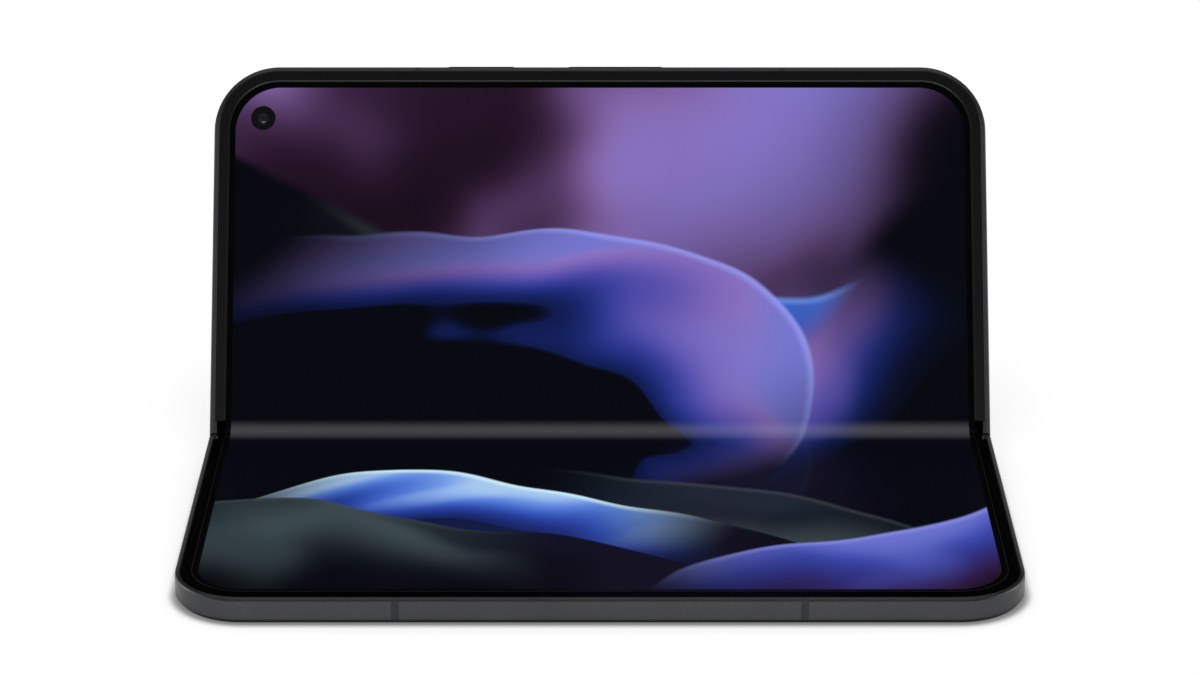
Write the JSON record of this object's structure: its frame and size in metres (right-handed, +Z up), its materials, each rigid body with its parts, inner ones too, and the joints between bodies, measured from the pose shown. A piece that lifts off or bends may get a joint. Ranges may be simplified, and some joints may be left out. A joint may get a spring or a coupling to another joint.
{
  "type": "foldable phone",
  "caption": "Foldable phone stood half open: two slim halves on a geared spine hinge, one folding screen inside, dark glass outside, side keys, card tray and charging socket.",
  "frame": {"origin": "centre of the underside of the half that lies flat, on the outer glass it rests on", "axes": "+X along the fold towards the charging socket end, +Y from the flat half towards the fold and the leaning half, +Z up"},
  "size_m": [0.1552, 0.1158, 0.0693],
  "materials": {
    "frame_metal": "satin graphite, bead blasted and anodised",
    "soft_rim": "soft matt black",
    "screen": null,
    "outer_screen": "dark screen, switched off",
    "cover_glass": "polished dark glass",
    "back_glass": "satin dark glass",
    "lens_glass": "polished black glass",
    "lens_black": "black with coated lens",
    "lamp": "frosted lens over a yellow phosphor",
    "steel": "stamped and brushed",
    "battery_foil": "wrinkled laminate foil",
    "board": "lacquered circuit board",
    "speaker_black": "moulded",
    "antenna_plastic": "dyed to the frame",
    "copper": "bare winding wire colour",
    "gear_brass": "cut teeth"
  },
  "bodies": {
    "base": {"base_frame": "frame_metal", "base_rim": "soft_rim", "base_screen": "screen", "base_screen_plate": "steel", "cover_glass": "cover_glass", "cover_screen": "outer_screen", "cover_camera": "lens_black", "base_battery": "battery_foil", "base_board": "board", "base_antenna_breaks": "antenna_plastic", "base_hinge_arms": "steel", "base_hinge_screws": "steel", "base_magnets": "steel", "ear_speaker": "speaker_black", "vibration_motor": "steel", "card_reader": "steel"},
    "spine": {"spine_cover": "frame_metal", "spine_end_caps": "soft_rim", "hinge_brackets": "steel", "fold_screen": "screen"},
    "lid": {"lid_frame": "frame_metal", "lid_rim": "soft_rim", "lid_screen": "screen", "lid_screen_plate": "steel", "inner_camera": "lens_black", "back_glass": "back_glass", "camera_block": "frame_metal", "camera_window": "lens_glass", "main_camera": "lens_black", "wide_camera": "lens_black", "zoom_camera": "lens_black", "flash_lamp": "lamp", "lid_battery": "battery_foil", "main_board": "board", "shield_cans": "steel", "charging_coil": "copper", "usb_socket": "steel", "lid_speaker": "speaker_black", "lid_antenna_breaks": "antenna_plastic", "lid_hinge_arms": "steel", "lid_hinge_screws": "steel", "lid_magnets": "steel", "key_switches": "gear_brass"},
    "card_tray": {"card_tray": "frame_metal"},
    "power_key": {"power_key": "frame_metal"},
    "volume_key": {"volume_key": "frame_metal"},
    "base_pinions": {"base_pinions": "gear_brass"},
    "lid_pinions": {"lid_pinions": "gear_brass"}
  },
  "joints": [
    {"name": "fold_base", "type": "hinge", "parent": "base", "child": "spine", "pos_m": [0, 0.03603, 0.00373], "axis": [1, 0, 0], "range_deg": [-30, 59.25]},
    {"name": "fold_lid", "type": "hinge", "parent": "spine", "child": "lid", "pos_m": [0, 0.03867, 0.00525], "axis": [1, 0, 0], "range_deg": [-30, 59.25], "deforming": ["fold_screen"]},
    {"name": "base_pinion_turn", "type": "hinge", "parent": "spine", "child": "base_pinions", "pos_m": [0, 0.03771, 0.00235], "axis": [1, 0, 0], "range_deg": [-57, 112.58]},
    {"name": "lid_pinion_turn", "type": "hinge", "parent": "spine", "child": "lid_pinions", "pos_m": [0, 0.03901, 0.0031], "axis": [1, 0, 0], "range_deg": [-112.58, 57]},
    {"name": "power_press", "type": "slide", "parent": "lid", "child": "power_key", "axis": [0, -0.5, -0.866], "range_m": [0, 0.0002], "stiffness_N_per_m": 4000},
    {"name": "volume_rock", "type": "hinge", "parent": "lid", "child": "volume_key", "pos_m": [0.0031, 0.07581, 0.06749], "axis": [0, -0.866, 0.5], "range_deg": [-1, 1], "stiffness_Nm_per_rad": 0.5},
    {"name": "tray_slide", "type": "slide", "parent": "base", "child": "card_tray", "axis": [1, 0, 0], "range_m": [0, 0.017]}
  ],
  "couplings": [
    {"joint": "fold_lid", "follows": "fold_base", "ratio": 1},
    {"joint": "base_pinion_turn", "follows": "fold_base", "ratio": 1.9},
    {"joint": "lid_pinion_turn", "follows": "fold_base", "ratio": -1.9}
  ]
}
